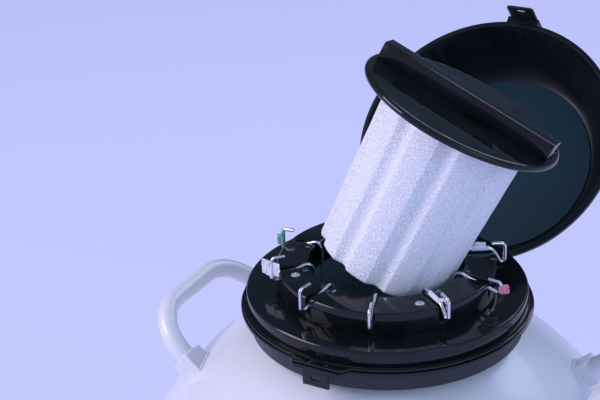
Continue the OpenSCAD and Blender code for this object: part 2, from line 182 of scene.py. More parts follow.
def mixed(tree, factor, first, second):
    """The first colour where the factor is 0, and the second where it is 1."""
    made = add(tree, "ShaderNodeMix", data_type="RGBA")
    for key, value in ((0, factor), (6, first), (7, second)):
        if isinstance(value, bpy.types.NodeSocket):
            tree.links.new(value, made.inputs[key])
        else:
            made.inputs[key].default_value = value if key == 0 else (*value, 1)
    return made.outputs[2]


def bumped(tree, height, distance, strength=1.0, under=None):
    values = {"Height": height, "Distance": distance, "Strength": strength}
    if under is not None:
        values["Normal"] = under
    return add(tree, "ShaderNodeBump", values).outputs["Normal"]


def new_material(name, **fixed):
    """A material, its tree, its shader and its object coordinates.

    Fixed values go on the shader's own sockets.
    """
    made = bpy.data.materials.new(name)
    made.use_nodes = True
    tree = made.node_tree
    shader = tree.nodes["Principled BSDF"]
    for key, value in fixed.items():
        shader.inputs[key.replace("_", " ")].default_value = value
    where = add(tree, "ShaderNodeTexCoord").outputs["Object"]
    return made, tree, shader, where


def finish_with(tree, shader, colour, roughness, normal=None):
    for key, value in (("Base Color", colour), ("Roughness", roughness), ("Normal", normal)):
        if value is not None:
            tree.links.new(value, shader.inputs[key])


# ---------------------------------------------------------------- materials


def paint(name):
    """White gloss paint: orange peel, a few duller wiped patches, dust towards the floor."""
    made, tree, shader, where = new_material(name, Coat_Weight=0.35, Coat_Roughness=0.12)
    broad = noise(tree, where, 5, 4)
    greyer = between(tree, broad, 0.35, 0.7, 0, 1)
    colour = mixed(tree, greyer, (0.86, 0.86, 0.875), (0.80, 0.805, 0.83))
    height = add(tree, "ShaderNodeSeparateXYZ", {"Vector": where}).outputs["Z"]
    low = between(tree, height, 0.02, 0.28, 1, 0)
    dust = maths(tree, "MULTIPLY", low, noise(tree, where, 26, 6))
    colour = mixed(tree, dust, colour, (0.60, 0.60, 0.61))
    marks = noise(tree, stretched(tree, where, (9, 9, 60)), 3, 5, 0.7)
    colour = mixed(tree, between(tree, marks, 0.68, 0.78, 0, 0.35), colour, (0.66, 0.67, 0.70))
    rough = between(tree, noise(tree, where, 14, 5), 0.3, 0.75, 0.24, 0.42)
    peel = noise(tree, where, 520, 1.5, 0.4)
    finish_with(tree, shader, colour, rough, bumped(tree, peel, 0.00006, 0.6))
    return made


def gloss_plastic(name, dark, light, rough_low, rough_high, grain=0.00001, shine=0.34):
    """Moulded black plastic: wiped smudges, fine scratches and settled dust."""
    made, tree, shader, where = new_material(name, IOR=1.54, Specular_IOR_Level=shine)
    smudge = noise(tree, where, 16, 5, 0.6, 0.6)
    speck = between(tree, cells(tree, where, 330.0), 0.035, 0.06, 1, 0)
    dusty = between(tree, noise(tree, where, 60, 3), 0.52, 0.62, 0, 1)
    patchy = maths(tree, "MULTIPLY", speck, dusty)
    colour = mixed(tree, between(tree, smudge, 0.4, 0.75, 0, 1), dark, light)
    colour = mixed(tree, patchy, colour, (0.22, 0.23, 0.25))
    rough = between(tree, smudge, 0.35, 0.75, rough_low, rough_high)
    rough = maths(tree, "MAXIMUM", rough, patchy)
    scratch = noise(tree, stretched(tree, where, (60, 900, 60)), 1.0, 2, 0.5, 1.2)
    lines = bumped(tree, between(tree, scratch, 0.66, 0.72, 0, 1), 0.00001, 0.25)
    fine = bumped(tree, noise(tree, where, 900, 2), grain, 0.5, lines)
    finish_with(tree, shader, colour, rough, fine)
    return made


def grained_plastic(name, dark, light, rough, grain_scale=1100.0, grain=0.00007, shine=0.34):
    """Satin moulding or powder coat with an even fine grain."""
    made, tree, shader, where = new_material(name, IOR=1.5, Specular_IOR_Level=shine)
    colour = mixed(tree, noise(tree, where, 22, 5), dark, light)
    grains = cells(tree, where, grain_scale)
    worn = between(tree, noise(tree, where, 9, 6), 0.3, 0.7, rough - 0.07, rough + 0.09)
    finish_with(tree, shader, colour, worn, bumped(tree, grains, grain, 0.7))
    return made


def metal(name, colour, rough, stretch, brushing=0.00002, tint=(0.8, 0.8, 0.82)):
    """Drawn, spun or brushed metal: the grain runs across the stretch's large axis."""
    made, tree, shader, where = new_material(name, Metallic=1.0)
    grain = noise(tree, stretched(tree, where, stretch), 40, 4, 0.7)
    cloud = noise(tree, where, 30, 4)
    shade = mixed(tree, between(tree, cloud, 0.35, 0.7, 0, 1), colour, tint)
    rough = between(tree, maths(tree, "MULTIPLY", grain, cloud), 0.1, 0.45, rough - 0.06, rough + 0.12)
    finish_with(tree, shader, shade, rough, bumped(tree, grain, brushing, 0.6))
    return made


def rubber(name, dark, light, rough=0.66):
    """Dull rubber with bloom and fine scuffs."""
    made, tree, shader, where = new_material(name, IOR=1.48)
    bloom = noise(tree, where, 34, 6, 0.65)
    colour = mixed(tree, between(tree, bloom, 0.4, 0.75, 0, 1), dark, light)
    scuff = noise(tree, where, 700, 3)
    finish_with(
        tree, shader, colour, between(tree, bloom, 0.3, 0.8, rough - 0.12, rough + 0.12),
        bumped(tree, scuff, 0.00006, 0.7),
    )
    return made


def bead_foam(name):
    """Moulded polystyrene: beads pressed flat, thin gaps between them painted darker as shade, a few
    sunk beads.
    """
    made, tree, shader, where = new_material(
        name, IOR=1.45,
        Subsurface_Weight=0.25, Subsurface_Scale=0.004, Subsurface_Radius=(1.0, 1.0, 1.0),
    )
    warp = add(tree, "ShaderNodeTexNoise", {"Vector": where, "Scale": 90.0, "Detail": 1.0})
    shift = {0: warp.outputs["Color"], "Scale": 0.0018}
    shift = add(tree, "ShaderNodeVectorMath", shift, operation="SCALE").outputs["Vector"]
    bent = add(tree, "ShaderNodeVectorMath", {0: where, 1: shift}, operation="ADD").outputs["Vector"]
    edge = cells(tree, bent, 260.0, feature="DISTANCE_TO_EDGE")
    each = cells(tree, bent, 260.0, "Color")
    tone = add(tree, "ShaderNodeSeparateColor", {"Color": each}).outputs["Red"]
    colour = mixed(tree, between(tree, tone, 0, 1, 0, 0.5), (0.95, 0.955, 0.955), (0.90, 0.905, 0.92))
    # Painted shade: the thin gaps between beads are coloured darker and bluer, as shade in the crevices
    gap = between(tree, edge, 0.0, 0.09, 0.7, 0.0)
    colour = mixed(tree, gap, colour, (0.72, 0.73, 0.77))
    soil = between(tree, noise(tree, where, 12, 6, 0.65), 0.56, 0.78, 0, 0.5)
    colour = mixed(tree, soil, colour, (0.78, 0.78, 0.78))
    domes = maths(tree, "MINIMUM", edge, 0.12)
    sunk = between(tree, between(tree, tone, 0.86, 0.9, 0, 1), 0, 1, 0, 0.06)
    relief = maths(tree, "SUBTRACT", domes, sunk)
    worn = bumped(tree, noise(tree, where, 900, 3), 0.0001, 0.25)
    finish_with(
        tree, shader, colour, between(tree, tone, 0, 1, 0.5, 0.72),
        bumped(tree, relief, 0.0042, 0.9, worn),
    )
    return made


def resin_tube(name):
    """Glass-fibre neck tube: wound bands under clear resin."""
    made, tree, shader, where = new_material(name, Coat_Weight=0.6, Coat_Roughness=0.06)
    wind = add(
        tree, "ShaderNodeTexWave", {"Vector": where, "Scale": 60.0, "Distortion": 2.5, "Detail": 3.0},
        bands_direction="Z",
    ).outputs["Fac"]
    threads = noise(tree, stretched(tree, where, (60, 60, 1400)), 1.0, 3)
    colour = mixed(tree, wind, (0.13, 0.26, 0.30), (0.20, 0.36, 0.40))
    colour = mixed(tree, between(tree, threads, 0.45, 0.7, 0, 0.5), colour, (0.32, 0.46, 0.48))
    rough = between(tree, threads, 0.3, 0.7, 0.22, 0.4)
    finish_with(tree, shader, colour, rough, bumped(tree, threads, 0.0001, 0.4))
    return made


def crinkled_foil(name):
    """Bright foil, folded and crumpled."""
    made, tree, shader, where = new_material(name, Metallic=1.0)
    folds = cells(tree, where, 45.0, feature="DISTANCE_TO_EDGE")
    fine = noise(tree, where, 160, 5, 0.7)
    both = maths(tree, "ADD", folds, fine)
    colour = mixed(tree, fine, (0.80, 0.80, 0.82), (0.92, 0.92, 0.93))
    rough = between(tree, fine, 0.3, 0.7, 0.12, 0.35)
    finish_with(tree, shader, colour, rough, bumped(tree, both, 0.003, 0.8))
    return made


def tape(name, dark, light):
    """Wrapped marker tape: crepe ridges and soiled folds."""
    made, tree, shader, where = new_material(name, IOR=1.46, Sheen_Weight=0.15, Sheen_Roughness=0.5)
    folds = noise(tree, where, 220, 5, 0.6, 0.4)
    colour = mixed(tree, between(tree, folds, 0.35, 0.7, 0, 1), dark, light)
    ribs = noise(tree, stretched(tree, where, (2600.0, 2600.0, 600)), 0.5, 2)
    rough = between(tree, folds, 0.3, 0.7, 0.42, 0.62)
    finish_with(tree, shader, colour, rough, bumped(tree, ribs, 0.00012, 0.8))
    return made


# One finish for each material slot
MATERIALS = {
    "white_paint": paint("white_paint"),
    "black_rubber": rubber("black_rubber", (0.016, 0.016, 0.017), (0.05, 0.05, 0.052)),
    "aluminium": metal("aluminium", (0.72, 0.73, 0.75), 0.34, (1, 1, 30)),
    "stainless": metal("stainless", (0.62, 0.63, 0.65), 0.26, (1, 1, 18)),
    "screw_steel": metal(
        "screw_steel", (0.90, 0.90, 0.92), 0.40, (6, 6, 6), brushing=0.00001, tint=(0.80, 0.81, 0.84)
    ),
    "black_steel": grained_plastic(
        "black_steel", (0.008, 0.008, 0.009), (0.018, 0.018, 0.02), 0.36, grain_scale=1500.0
    ),
    "black_gloss": gloss_plastic(
        "black_gloss", (0.004, 0.005, 0.006), (0.008, 0.009, 0.011), 0.05, 0.16
    ),
    "lid_black": gloss_plastic(
        "lid_black", (0.004, 0.006, 0.008), (0.008, 0.011, 0.014), 0.26, 0.42, grain=0.00003, shine=0.16
    ),
    "dark_moulding": grained_plastic(
        "dark_moulding", (0.014, 0.018, 0.022), (0.026, 0.031, 0.037), 0.42
    ),
    "liner_grey": grained_plastic(
        "liner_grey", (0.007, 0.030, 0.042), (0.011, 0.037, 0.052), 0.6,
        grain_scale=420.0, grain=0.00012, shine=0.16,
    ),
    "seal_rubber": rubber("seal_rubber", (0.008, 0.008, 0.009), (0.022, 0.022, 0.024)),
    "fibreglass": resin_tube("fibreglass"),
    "foil_blanket": crinkled_foil("foil_blanket"),
    "white_foam": bead_foam("white_foam"),
    "canister_steel": metal("canister_steel", (0.60, 0.61, 0.63), 0.28, (1, 1, 40)),
    "hook_steel": metal(
        "hook_steel", (0.78, 0.79, 0.81), 0.17, (8, 8, 8), brushing=0.00001, tint=(0.66, 0.68, 0.71)
    ),
    "pink_tape": tape("pink_tape", (0.86, 0.22, 0.42), (0.95, 0.42, 0.58)),
    "green_tape": tape("green_tape", (0.10, 0.36, 0.24), (0.24, 0.55, 0.40)),
    "white_tape": tape("white_tape", (0.70, 0.72, 0.76), (0.86, 0.87, 0.90)),
}


def stage_material():
    """Plain pale floor: one colour all over, with a soft even glow."""
    return new_material(
        "pale_floor", Roughness=0.9, Specular_IOR_Level=0.1,
        Base_Color=(*(FLOOR_ALBEDO_SHARE * c for c in FLOOR_COLOUR), 1.0),
        Emission_Color=(*FLOOR_COLOUR, 1.0), Emission_Strength=FLOOR_GLOW,
    )[0]


# ---------------------------------------------------------------- mesh helpers


def link(name, data, body, slot, replaced=(), material=None):
    """Puts a new piece in the scene, riding on its body with its finish."""
    made = bpy.data.objects.new(name, data)
    scene.collection.objects.link(made)
    data.materials.clear()
    data.materials.append(material or MATERIALS[slot])
    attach(made, body)
    if replaced:
        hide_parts(*replaced)
    return made


def mesh_from(name, build, smooth_angle=35):
    """A mesh that build(bm) fills, shaded smooth with its sharp edges kept."""
    bm = bmesh.new()
    build(bm)
    bmesh.ops.recalc_face_normals(bm, faces=bm.faces)
    data = bpy.data.meshes.new(name)
    bm.to_mesh(data)
    bm.free()
    data.shade_smooth()
    data.set_sharp_from_angle(angle=math.radians(smooth_angle))
    return data


FLAT_DEGREES, SHARP_DEGREES, SHADE_DEGREES = 0.6, 32, 40
CAD_SHADE_DEGREES = 30
WELD_DISTANCE = 0.00001


def softened(node, width_mm):
    """A copy of a CAD node whose sharp edges are rounded off."""
    bm = bmesh.new()
    bm.from_mesh(NODES[node].data)
    bmesh.ops.remove_doubles(bm, verts=bm.verts, dist=WELD_DISTANCE)
    bmesh.ops.dissolve_limit(
        bm, angle_limit=math.radians(FLAT_DEGREES), verts=bm.verts, edges=bm.edges,
        use_dissolve_boundaries=False,
    )
    limit = math.radians(SHARP_DEGREES)
    sharp = [e for e in bm.edges if len(e.link_faces) == 2 and e.calc_face_angle(0) > limit]
    bmesh.ops.bevel(
        bm, geom=sharp, offset=width_mm * MM, offset_type="OFFSET", segments=2, profile=0.5,
        affect="EDGES", clamp_overlap=True, loop_slide=True, miter_outer="ARC",
    )
    data = bpy.data.meshes.new(node)
    bm.to_mesh(data)
    bm.free()
    data.shade_smooth()
    data.set_sharp_from_angle(angle=math.radians(SHADE_DEGREES))
    return data


def bridge(bm, first, second):
    """Joins two closed rings of the same number of points with quads."""
    count = len(first)
    for k in range(count):
        j = (k + 1) % count
        bm.faces.new((first[k], first[j], second[j], second[k]))


def rounded_path(points, radii, steps=6):
    """A polyline with each inner corner turned into an arc of the given radius."""
    out = [points[0]]
    for before, corner, after, radius in zip(points, points[1:], points[2:], radii):
        u, v = (before - corner).normalized(), (after - corner).normalized()
        angle = u.angle(v)
        room = min((before - corner).length, (after - corner).length) * 0.49
        back = min(radius / math.tan(angle / 2), room)
        real = back * math.tan(angle / 2)
        middle = corner + (u + v).normalized() * (real / math.sin(angle / 2))
        first, last = corner + u * back, corner + v * back
        a, b = first - middle, last - middle
        for s in range(steps + 1):
            turn = a.angle(b) * s / steps
            axis = a.cross(b).normalized()
            out.append(middle + Quaternion(axis, turn) @ a)
    out.append(points[-1])
    return out


DOME_STEPS = (0.15, 0.55, 0.87)
DOME_LENGTH = 0.9


def sweep(bm, path, radius, sides=14, round_ends=True, wobble=None):
    """A round tube along a path, with domed or flat ends. wobble(i) is a share added to the radius."""
    points = [Vector(p) for p in path]
    last = len(points) - 1
    tangents = [
        (points[min(i + 1, last)] - points[max(i - 1, 0)]).normalized() for i in range(last + 1)
    ]
    normal = tangents[0].orthogonal().normalized()
    rings = []

    def ring(centre, across, side, size):
        other = across.cross(side)
        turns = [2 * math.pi * k / sides for k in range(sides)]
        return [bm.verts.new(centre + (side * math.cos(a) + other * math.sin(a)) * size) for a in turns]

    for i, (p, t) in enumerate(zip(points, tangents)):
        if i:
            turn = tangents[i - 1].rotation_difference(t)
            normal = (turn @ normal).normalized()
        size = radius * (1 + (wobble(i) if wobble else 0))
        if round_ends and i in (0, last):
            inward = 1 if i == 0 else -1
            for s in DOME_STEPS[::inward]:
                centre = p + t * (inward * radius * (1 - s) * DOME_LENGTH)
                rings.append(ring(centre, t, normal, size * math.sin(math.acos(1 - s))))
        else:
            rings.append(ring(p, t, normal, size))
    for a, b in zip(rings, rings[1:]):
        bridge(bm, a, b)
    bm.faces.new(list(reversed(rings[0])))
    bm.faces.new(rings[-1])


def at_slot(index, radius, height, sideways=0.0):
    """A point in slot index's own upright plane, from the deck's top, in millimetres."""
    a = 2 * math.pi * index / SLOTS
    x = radius * math.cos(a) - sideways * math.sin(a)
    y = radius * math.sin(a) + sideways * math.cos(a)
    return Vector((x * MM, y * MM, DECK_Z + height * MM))


# ---------------------------------------------------------------- the plug's frame

PLUG_AT = Vector((-0.0038, -0.0024, DECK_Z + 0.0253))
PLUG_HEADING = math.radians(26)
PLUG_TILT = math.radians(25.6)
PLUG_POSE = Matrix.Translation(PLUG_AT) @ Matrix.Rotation(
    PLUG_TILT, 4, Vector((-math.sin(PLUG_HEADING), math.cos(PLUG_HEADING), 0))
)
FOAM_LENGTH_MM = 189.6
FOAM_BOTTOM_MM = 74.0
FOAM_TOP_MM = 81.0
FLUTE_DEPTH_MM = 6.4
FLUTE_HALF_TURN = math.radians(8.4)
FLUTE_ROUNDING = 1.25
FOAM_CORNER_MM, FOAM_CORNER_STEPS = 4.0, 6
FOAM_AROUND, FOAM_LAYERS = 400, 96
FOAM_DENTS, FOAM_SEED = 70, 11
CAP_SHARES = (0.94, 0.6, 0.25)


def flute(turn):
    """How deep the flute is at an angle round the foam, from 0 to 1."""
    pitch = 2 * math.pi / SLOTS
    off = abs((turn + pitch / 2) % pitch - pitch / 2)
    if off >= FLUTE_HALF_TURN:
        return 0.0
    return (1 - (off / FLUTE_HALF_TURN) ** 2) ** FLUTE_ROUNDING


def foam_radius(a, z, dents):
    """The foam's radius at an angle and height: taper, rounded foot, flutes, waviness and dents."""
    lean = FOAM_BOTTOM_MM + (FOAM_TOP_MM - FOAM_BOTTOM_MM) * z / FOAM_LENGTH_MM
    if z < FOAM_CORNER_MM:
        lean -= FOAM_CORNER_MM - math.sqrt(max(0, FOAM_CORNER_MM**2 - (FOAM_CORNER_MM - z) ** 2))
    r = lean - FLUTE_DEPTH_MM * flute(a)
    if not FOAM_CORNER_MM < z < FOAM_LENGTH_MM - 2:
        return r
    r += 0.10 * math.sin(3.1 * a + z * 0.05) + 0.06 * math.sin(17 * a - z * 0.21)
    for da, dz, size, depth in dents:
        gap = (da - a + math.pi) % (2 * math.pi) - math.pi
        if abs(gap) * lean < size and abs(dz - z) < size:
            far = ((gap * lean) ** 2 + (dz - z) ** 2) / size**2
            if far < 1:
                r -= depth * (1 - far) ** 2
    return r


def build_foam(bm):
    """The plug's fluted foam, tilted with the plug, as rings from its foot to its top."""
    rng = random.Random(FOAM_SEED)
    dents = []
    for _ in range(FOAM_DENTS):
        turn, height = rng.uniform(0, 2 * math.pi), rng.uniform(12, 170)
        dents.append((turn, height, rng.uniform(1.5, 4.5), rng.uniform(0.15, 0.6)))
    steps = [math.pi / 2 * k / FOAM_CORNER_STEPS for k in range(FOAM_CORNER_STEPS)]
    heights = [FOAM_CORNER_MM * (1 - math.cos(a)) for a in steps]
    straight = FOAM_LENGTH_MM - FOAM_CORNER_MM
    heights += [FOAM_CORNER_MM + straight * k / FOAM_LAYERS for k in range(FOAM_LAYERS + 1)]
    rings = []
    for z in heights:
        row = []
        for i in range(FOAM_AROUND):
            a = 2 * math.pi * i / FOAM_AROUND
            r = foam_radius(a, z, dents)
            spot = Vector((r * MM * math.cos(a), r * MM * math.sin(a), z * MM))
            row.append(bm.verts.new(PLUG_POSE @ spot))
        rings.append(row)
    for a, b in zip(rings, rings[1:]):
        bridge(bm, a, b)
    to_plug = PLUG_POSE.inverted()
    for row, z, is_foot in ((rings[0], 0.0, True), (rings[-1], FOAM_LENGTH_MM, False)):
        outer, outer_share = row, 1.0
        for share in CAP_SHARES:
            scale = share / outer_share
            inner = []
            for v in outer:
                p = to_plug @ v.co
                inner.append(bm.verts.new(PLUG_POSE @ Vector((p.x * scale, p.y * scale, z * MM))))
            bridge(bm, *((inner, outer) if is_foot else (outer, inner)))
            outer, outer_share = inner, share
        bm.faces.new(list(reversed(outer)) if is_foot else outer)


# ---------------------------------------------------------------- hooks, tags and numbers

ROD_R_MM = 2.0
HOOK_REACH_MM = (133, 131, 128, 128, 128, 129, 125, 128.5, 128, 133)
HOOK_TOP_MM = (29.5, 35.5, 40.6, 40, 40.4, 38, 41, 41, 34, 41)
HOOK_FOOT_MM = (16, 11.5, 11, 11, 11.1, 12, 13, 13.2, 10.2, 16.5)
TAPED_SLOTS = (1, 9)
TAPED_FROM_MM, TAPED_TO_MM = (88, 31.2), (117, 29.6)
BARE_CREST_MM, BARE_FALL_MM = 29.3, (96, 25.6)
# Corners that all rods share, from the cup's rim up the neck, and the bends up to the crest
ROD_RISE_MM = [(102.98, -400), (102.98, -332), (80, -226), (80, 24)]
ROD_RISE_BENDS_MM = [18, 18, 9, 7, 9]
HOOK_BENDS_MM = [4, 3.5, 3.5, 3]


def hook_points(index):
    """Corners of a rod in its own upright plane, and how widely each is bent, in millimetres."""
    reach, top, foot = HOOK_REACH_MM[index], HOOK_TOP_MM[index], HOOK_FOOT_MM[index]
    taped = index in TAPED_SLOTS
    crest = TAPED_FROM_MM[1] if taped else BARE_CREST_MM
    points = ROD_RISE_MM + [(83.5, crest - 0.8), (88, crest), TAPED_TO_MM if taped else BARE_FALL_MM]
    points += [(reach - 4, foot), (reach, foot + 2.8)]
    points += [(reach, top - 3.5), (reach - 3, top - 0.9), (reach - 14.4, top)]
    return points, ROD_RISE_BENDS_MM + [12 if taped else 10] + HOOK_BENDS_MM


def build_rod(index):
    """A builder for the rod that hangs in slot index."""

    def build(bm):
        points, bends = hook_points(index)
        bare = [at_slot(index, r, z) for r, z in points]
        sweep(bm, rounded_path(bare, [b * MM for b in bends]), ROD_R_MM * MM)

    return build


def ribbon(bm, rows, thickness):
    """A thin crumpled strip: rows of points across it, given both faces and its edges."""
    count, wide = len(rows), len(rows[0])
    top, bottom = [], []
    for i in range(count):
        up, low = [], []
        for k in range(wide):
            a, b = rows[max(i - 1, 0)][k], rows[min(i + 1, count - 1)][k]
            c, d = rows[i][max(k - 1, 0)], rows[i][min(k + 1, wide - 1)]
            n = (b - a).cross(d - c)
            n = n.normalized() if n.length > 1e-12 else Vector((0, 0, 1))
            up.append(bm.verts.new(rows[i][k] + n * (thickness / 2)))
            low.append(bm.verts.new(rows[i][k] - n * (thickness / 2)))
        top.append(up)
        bottom.append(low)
    for i in range(count - 1):
        for k in range(wide - 1):
            bm.faces.new((top[i][k], top[i][k + 1], top[i + 1][k + 1], top[i + 1][k]))
            bm.faces.new((bottom[i][k], bottom[i + 1][k], bottom[i + 1][k + 1], bottom[i][k + 1]))
    for i in range(count - 1):
        bm.faces.new((top[i][0], top[i + 1][0], bottom[i + 1][0], bottom[i][0]))
        bm.faces.new((top[i][-1], bottom[i][-1], bottom[i + 1][-1], top[i + 1][-1]))
    for k in range(wide - 1):
        bm.faces.new((top[0][k], bottom[0][k], bottom[0][k + 1], top[0][k + 1]))
        bm.faces.new((top[-1][k], top[-1][k + 1], bottom[-1][k + 1], bottom[-1][k]))


def upright(index):
    """Places a point by its height up the end of a hook, and its offsets out and sideways."""
    return lambda along, out, aside: at_slot(index, HOOK_REACH_MM[index] + out, along, aside)


def lying(index):
    """Places a point by its distance along a rod's taped stretch, and its offsets up and sideways."""
    a, b = Vector(TAPED_FROM_MM), Vector(TAPED_TO_MM)
    run = (b - a).normalized()

    def place(along, out, aside):
        at = a + run * along + Vector((-run.y, run.x)) * out
        return at_slot(index, at.x, at.y, aside)

    return place


TURN_STEPS = 18
TAPE_THICK_MM, FLAG_THICK_MM = 0.16, 0.2
FLAG_COLUMNS = 9
LOOP_POINTS, LOOP_TURNS, LOOP_SEED, LOOP_R_MM = 56, 1.8, 6, 0.55


def wound(bm, place, low, high, width, pitch, start=0.0):
    """Tape wound round a rod in overlapping turns, each lapping a little over the last."""
    turns = max(1.2, (high - low - width) / pitch)
    rows = []
    for i in range(int(turns * TURN_STEPS) + 1):
        a = start + 2 * math.pi * i / TURN_STEPS
        c = low + width / 2 + (high - low - width) * i / (turns * TURN_STEPS)
        row = []
        for k in range(4):
            lap = k / 3
            r = ROD_R_MM + 0.32 + 0.34 * (1 - lap)
            r += 0.05 * math.sin(3 * a + 2 * k) + 0.03 * math.sin(7.3 * a)
            row.append(place(c + width * (lap - 0.5), r * math.cos(a), r * math.sin(a)))
        rows.append(row)
    ribbon(bm, rows, TAPE_THICK_MM * MM)


def flag(bm, place, line, low, high, seed, crumple):
    """A free end of tape: a strip that follows line, from low to high along the rod."""
    rng = random.Random(seed)
    limits = ((0.5, 2.2), (0.4, 1.6), (0, 6.3), (0.3, 1))
    waves = [tuple(rng.uniform(*pair) for pair in limits) for _ in range(5)]
    path = rounded_path([Vector((*q, 0)) for q in line], [1.2] * (len(line) - 2), 5)
    rows = []
    for i, q in enumerate(path):
        ahead = path[min(i + 1, len(path) - 1)] - path[max(i - 1, 0)]
        across = Vector((-ahead.y, ahead.x, 0)).normalized()
        free = min(1.0, i / 4)
        row = []
        for k in range(FLAG_COLUMNS):
            up = low + (high - low) * k / (FLAG_COLUMNS - 1)
            push = sum(d * math.sin(f * up * 0.5 + g * i * 0.4 + h) for f, g, h, d in waves)
            push *= crumple * free
            spot = q + across * push
            row.append(place(up + 0.15 * push, spot.x, spot.y))
        rows.append(row)
    ribbon(bm, rows, FLAG_THICK_MM * MM)


def build_pink(bm):
    """Pink tape on hook 1: a short winding, with its crumpled end as three tangled loops."""
    spot = upright(0)
    wound(bm, spot, 18.2, 25.6, 4.6, 1.3)
    flag(bm, spot, [(1.8, 2.0), (4.0, 2.6), (6.0, 1.0)], 19, 24.5, 3, 0.4)
    rng = random.Random(LOOP_SEED)
    for _ in range(3):
        a, b, c, d = (rng.uniform(0, 6.3) for _ in range(4))
        line = []
        for i in range(LOOP_POINTS):
            t = 2 * math.pi * i / LOOP_POINTS * LOOP_TURNS
            away = 4.2 + 3.0 * math.sin(t + a) + 1.2 * math.sin(2.7 * t + b)
            line.append(spot(22 + 3.6 * math.sin(1.6 * t + c), away, 4.2 * math.sin(1.3 * t + d)))
        sweep(bm, line, LOOP_R_MM * MM, 8, True, lambda i: 0.2 * math.sin(1.7 * i))


def build_green(bm):
    """Green tape on hook 6, with one short end."""
    spot = upright(5)
    wound(bm, spot, 16.5, 34.5, 9, 2.4)
    flag(bm, spot, [(1.6, 2.1), (4.6, 2.6), (7.0, 1.2)], 18, 31, 5, 0.35)


def build_white(bm):
    """White tape on hook 7: a folded flag and a short end."""
    spot = upright(6)
    wound(bm, spot, 16.5, 36, 10, 2.6)
    folded = [(1.2, -2.3), (4.6, -6.0), (9.0, -10.6), (10.0, -10.0), (5.8, -4.6), (2.4, -0.8)]
    flag(bm, spot, folded, 18.5, 35.5, 12, 0.5)
    flag(bm, spot, [(-1.0, 2.4), (-4.4, 5.6), (-7.2, 8.4)], 20, 36.5, 21, 0.45)


def build_twist(bm):
    """White tape on the lying rod of hook 10, its end twisted down over the edge."""
    spot = lying(9)
    wound(bm, spot, 5, 29, 8, 2.6)
    corners = ((27, 2.4, 0), (32, 4.2, 1.5), (37, 0.4, 3.2), (38.6, -7, 3.6), (39.2, -12.5, 2.6))
    line = rounded_path([Vector(q) for q in corners], [4, 4, 4])
    rows = []
    for i, q in enumerate(line):
        turn = 0.35 * i
        side = Vector((0, math.cos(turn), math.sin(turn)))
        half = 2.3 * (1 - 0.4 * (i / len(line)) ** 2)
        row = []
        for k in range(5):
            ripple = Vector((0.2 * math.sin(1.9 * i + k), 0, 0))
            row.append(spot(*(q + side * half * (k / 2 - 1) + ripple)))
        rows.append(row)
    ribbon(bm, rows, FLAG_THICK_MM * MM)


def build_wrap(bm):
    """White tape on the lying rod of hook 2."""
    spot = lying(1)
    wound(bm, spot, 3.5, 27, 9, 2.7, 0.8)
    flag(bm, spot, [(2.3, 0.8), (4.2, 2.0), (5.6, 4.4)], 10, 22, 9, 0.35)


# ---------------------------------------------------------------- numbers and welds


def number_ink():
    """Printed teal figures, worn through in places."""
    made, tree, shader, where = new_material("number_ink", IOR=1.45)
    worn = between(tree, noise(tree, where, 420, 5, 0.7), 0.42, 0.62, 0, 0.5)
    colour = mixed(tree, worn, (0.16, 0.66, 0.58), (0.05, 0.16, 0.15))
    finish_with(tree, shader, colour, between(tree, worn, 0, 0.5, 0.35, 0.6))
    return made


NUMBER_TURN = math.radians(7.0)
NUMBER_RADIUS_MM = 91.8
NUMBER_SIZE_MM = 7.4
NUMBER_THICK_MM, NUMBER_GAP_MM = 0.03, 0.04
RING_INNER_R_MM, RING_TOP_INNER_MM = 86.2, 27.7
RING_SLOPE = 1.5 / 31.8


def slot_number(index):
    """The figure printed beside a slot, lying on the ring's slightly sloped top."""
    drawn = bpy.data.curves.new(f"figure_{index + 1}", "FONT")
    drawn.body = str(index + 1)
    drawn.align_x, drawn.align_y = "CENTER", "CENTER"
    drawn.size = NUMBER_SIZE_MM * MM
    drawn.extrude = NUMBER_THICK_MM * MM
    drawn.resolution_u = 4
    holder = bpy.data.objects.new(drawn.name, drawn)
    scene.collection.objects.link(holder)
    graph = bpy.context.evaluated_depsgraph_get()
    data = bpy.data.meshes.new_from_object(holder.evaluated_get(graph))
    bpy.data.objects.remove(holder)
    bpy.data.curves.remove(drawn)
    a = 2 * math.pi * index / SLOTS + NUMBER_TURN
    out = Vector((math.cos(a), math.sin(a), 0))
    top = RING_TOP_INNER_MM - RING_SLOPE * (NUMBER_RADIUS_MM - RING_INNER_R_MM)
    up = -(out - Vector((0, 0, RING_SLOPE))).normalized()
    right = Vector((-math.sin(a), math.cos(a), 0))
    face = right.cross(up)
    spot = out * NUMBER_RADIUS_MM * MM + Vector((0, 0, DECK_Z + (top + NUMBER_GAP_MM) * MM))
    data.transform(Matrix.Translation(spot) @ Matrix((right, up, face)).transposed().to_4x4())
    return data


BEAD_SIDES, BEAD_TURNS = 10, 84


def bead(bm, centre, radius, thick, normal, seed):
    """A ripple-faced weld bead round a tube."""
    rng = random.Random(seed)
    n = Vector(normal).normalized()
    u = n.orthogonal().normalized()
    w = n.cross(u)
    phase = rng.uniform(0, 6.3)
    rings = []
    for i in range(BEAD_TURNS):
        a = 2 * math.pi * i / BEAD_TURNS
        out = u * math.cos(a) + w * math.sin(a)
        size = thick * (1 + 0.16 * math.sin(26 * a + phase) + 0.08 * math.sin(5 * a))
        ring = []
        for k in range(BEAD_SIDES):
            b = 2 * math.pi * k / BEAD_SIDES
            spot = centre + out * (radius + size * math.cos(b)) + n * (size * math.sin(b))
            ring.append(bm.verts.new(spot))
        rings.append(ring)
    for a, b in zip(rings, rings[1:] + rings[:1]):
        bridge(bm, a, b)


